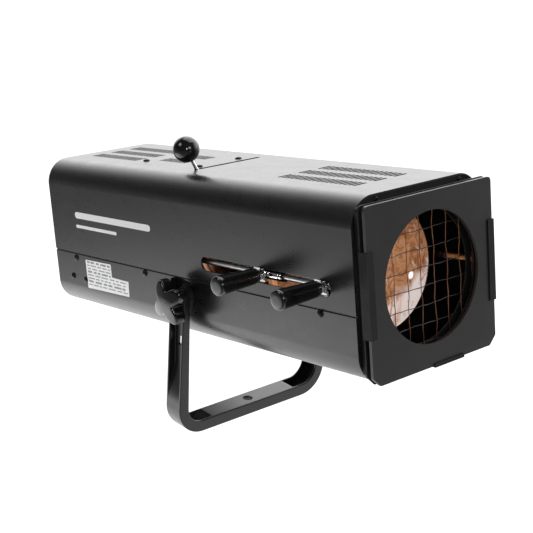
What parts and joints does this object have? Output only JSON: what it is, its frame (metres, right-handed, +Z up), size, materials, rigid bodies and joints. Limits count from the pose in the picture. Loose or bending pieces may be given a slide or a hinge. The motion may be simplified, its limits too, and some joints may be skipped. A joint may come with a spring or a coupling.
{
  "type": "follow spotlight",
  "caption": "Box-bodied ellipsoidal follow spotlight on a U yoke, with sliding lens handles, an iris lever and a wire-guarded colour frame.",
  "frame": {"origin": "centre of the stand-bolt hole, level with the underside of the yoke's cross-bar", "axes": "+X horizontally along the beam, -Y towards the operator's lens handles, +Z up along the yoke; the lamp house rests 9.5 degrees nose-up about the pivot"},
  "size_m": [0.6275, 0.29, 0.3658],
  "materials": {
    "body_paint": "satin black powder coat",
    "panel_black": "matt black",
    "frame_paint": "satin dark grey",
    "knob_plastic": "gloss black",
    "service_plastic": "matt black",
    "zinc_plate": "bright zinc plate",
    "rod_steel": "ground bar",
    "chrome": "polished",
    "copper_tone": "copper-toned, satin",
    "guard_wire": "dark coppery wire",
    "blade_steel": "heat-blackened",
    "lens_glass": "polished, warm coating",
    "bulb_glass": "clear",
    "lamp_ceramic": "unglazed",
    "reflector_mirror": "polished"
  },
  "bodies": {
    "yoke": {"yoke": "body_paint"},
    "lamp_house": {"cover": "body_paint", "tray": "body_paint", "front_panel": "panel_black", "gate_plate": "panel_black", "frame_holder": "panel_black", "guard_mesh": "guard_wire", "guide_rod_operator": "rod_steel", "guide_rod_far": "rod_steel", "iris_base": "copper_tone", "iris_cover_ring": "copper_tone", "reflector": "reflector_mirror", "lamp_bulkhead": "panel_black", "lamp_bulb": "bulb_glass", "lamp_socket": "lamp_ceramic", "lamp_bracket": "zinc_plate", "rear_panel": "body_paint", "fan_frame": "service_plastic", "power_inlet": "service_plastic", "switch_bezel": "service_plastic", "fuse_holder": "service_plastic", "pivot_nut_plate_operator": "zinc_plate", "pivot_nut_plate_far": "zinc_plate", "pivot_spacer_operator": "service_plastic", "pivot_spacer_far": "service_plastic"},
    "color_frame": {"color_frame_front": "frame_paint", "color_frame_back": "frame_paint"},
    "iris_actuator": {"iris_cam_ring": "copper_tone", "iris_lever": "chrome", "iris_knob": "knob_plastic"},
    "fan_rotor": {"fan_impeller": "service_plastic"},
    "power_rocker": {"switch_rocker": "service_plastic"},
    "fuse_carrier": {"fuse_cap": "service_plastic"},
    "clamp_operator": {"pivot_knob_operator": "knob_plastic", "pivot_bolt_operator": "zinc_plate", "pivot_washer_operator": "zinc_plate"},
    "clamp_far": {"pivot_knob_far": "knob_plastic", "pivot_bolt_far": "zinc_plate", "pivot_washer_far": "zinc_plate"},
    "focus_carriage": {"focus_carriage_plate": "zinc_plate", "focus_lens": "lens_glass", "focus_lens_ring": "copper_tone", "focus_bush_operator": "chrome", "focus_bush_far": "chrome", "focus_handle_stud": "chrome"},
    "focus_grip": {"focus_handle_grip": "knob_plastic"},
    "zoom_carriage": {"zoom_carriage_plate": "zinc_plate", "zoom_lens": "lens_glass", "zoom_lens_ring": "copper_tone", "zoom_bush_operator": "chrome", "zoom_bush_far": "chrome", "zoom_handle_stud": "chrome"},
    "zoom_grip": {"zoom_handle_grip": "knob_plastic"},
    "blade_1": {"iris_blade_1": "blade_steel"},
    "blade_2": {"iris_blade_2": "blade_steel"},
    "blade_3": {"iris_blade_3": "blade_steel"},
    "blade_4": {"iris_blade_4": "blade_steel"},
    "blade_5": {"iris_blade_5": "blade_steel"},
    "blade_6": {"iris_blade_6": "blade_steel"}
  },
  "joints": [
    {"name": "tilt", "type": "hinge", "parent": "yoke", "child": "lamp_house", "pos_m": [0, 0, 0.178], "axis": [0, 1, 0], "range_deg": [-52, 71]},
    {"name": "clamp_knob_operator", "type": "hinge", "parent": "lamp_house", "child": "clamp_operator", "pos_m": [0, -0.12, 0.178], "axis": [0, -1, 0], "range_deg": [0, 360]},
    {"name": "clamp_knob_far", "type": "hinge", "parent": "lamp_house", "child": "clamp_far", "pos_m": [0, 0.12, 0.178], "axis": [0, 1, 0], "range_deg": [0, 360]},
    {"name": "focus_slide", "type": "slide", "parent": "lamp_house", "child": "focus_carriage", "axis": [0.9863, 0, 0.165], "range_m": [-0.025, 0.009]},
    {"name": "zoom_slide", "type": "slide", "parent": "lamp_house", "child": "zoom_carriage", "axis": [0.9863, 0, 0.165], "range_m": [-0.094, 0.022]},
    {"name": "focus_handle_lock", "type": "hinge", "parent": "focus_carriage", "child": "focus_grip", "pos_m": [0.22188, -0.128, 0.26076], "axis": [0, -1, 0], "range_deg": [0, 180]},
    {"name": "zoom_handle_lock", "type": "hinge", "parent": "zoom_carriage", "child": "zoom_grip", "pos_m": [0.12473, -0.128, 0.2445], "axis": [0, -1, 0], "range_deg": [0, 180]},
    {"name": "iris_lever_swing", "type": "hinge", "parent": "lamp_house", "child": "iris_actuator", "pos_m": [-0.03504, 0, 0.21776], "axis": [-0.9863, 0, -0.165], "range_deg": [0, 52]},
    {"name": "iris_blade_1_turn", "type": "hinge", "parent": "lamp_house", "child": "blade_1", "pos_m": [-0.03702, 0.046, 0.21743], "axis": [0.9863, 0, 0.165], "range_deg": [0, 35]},
    {"name": "iris_blade_2_turn", "type": "hinge", "parent": "lamp_house", "child": "blade_2", "pos_m": [-0.04359, 0.023, 0.25672], "axis": [0.9863, 0, 0.165], "range_deg": [0, 35]},
    {"name": "iris_blade_3_turn", "type": "hinge", "parent": "lamp_house", "child": "blade_3", "pos_m": [-0.04359, -0.023, 0.25672], "axis": [0.9863, 0, 0.165], "range_deg": [0, 35]},
    {"name": "iris_blade_4_turn", "type": "hinge", "parent": "lamp_house", "child": "blade_4", "pos_m": [-0.03702, -0.046, 0.21743], "axis": [0.9863, 0, 0.165], "range_deg": [0, 35]},
    {"name": "iris_blade_5_turn", "type": "hinge", "parent": "lamp_house", "child": "blade_5", "pos_m": [-0.03044, -0.023, 0.17814], "axis": [0.9863, 0, 0.165], "range_deg": [0, 35]},
    {"name": "iris_blade_6_turn", "type": "hinge", "parent": "lamp_house", "child": "blade_6", "pos_m": [-0.03044, 0.023, 0.17814], "axis": [0.9863, 0, 0.165], "range_deg": [0, 35]},
    {"name": "color_frame_lift", "type": "slide", "parent": "lamp_house", "child": "color_frame", "axis": [-0.165, 0, 0.9863], "range_m": [0, 0.2]},
    {"name": "fan_spin", "type": "hinge", "parent": "lamp_house", "child": "fan_rotor", "pos_m": [-0.28953, 0, 0.21168], "axis": [0.9863, 0, 0.165], "continuous": true},
    {"name": "power_rocker_tip", "type": "hinge", "parent": "lamp_house", "child": "power_rocker", "pos_m": [-0.28743, 0.002, 0.1228], "axis": [0, -1, 0], "range_deg": [0, 14]},
    {"name": "fuse_cap_turn", "type": "hinge", "parent": "lamp_house", "child": "fuse_carrier", "pos_m": [-0.28783, 0.042, 0.12274], "axis": [0.9863, 0, 0.165], "range_deg": [0, 90]}
  ],
  "couplings": [
    {"joint": "iris_blade_1_turn", "follows": "iris_lever_swing", "ratio": 0.67},
    {"joint": "iris_blade_2_turn", "follows": "iris_lever_swing", "ratio": 0.67},
    {"joint": "iris_blade_3_turn", "follows": "iris_lever_swing", "ratio": 0.67},
    {"joint": "iris_blade_4_turn", "follows": "iris_lever_swing", "ratio": 0.67},
    {"joint": "iris_blade_5_turn", "follows": "iris_lever_swing", "ratio": 0.67},
    {"joint": "iris_blade_6_turn", "follows": "iris_lever_swing", "ratio": 0.67}
  ]
}
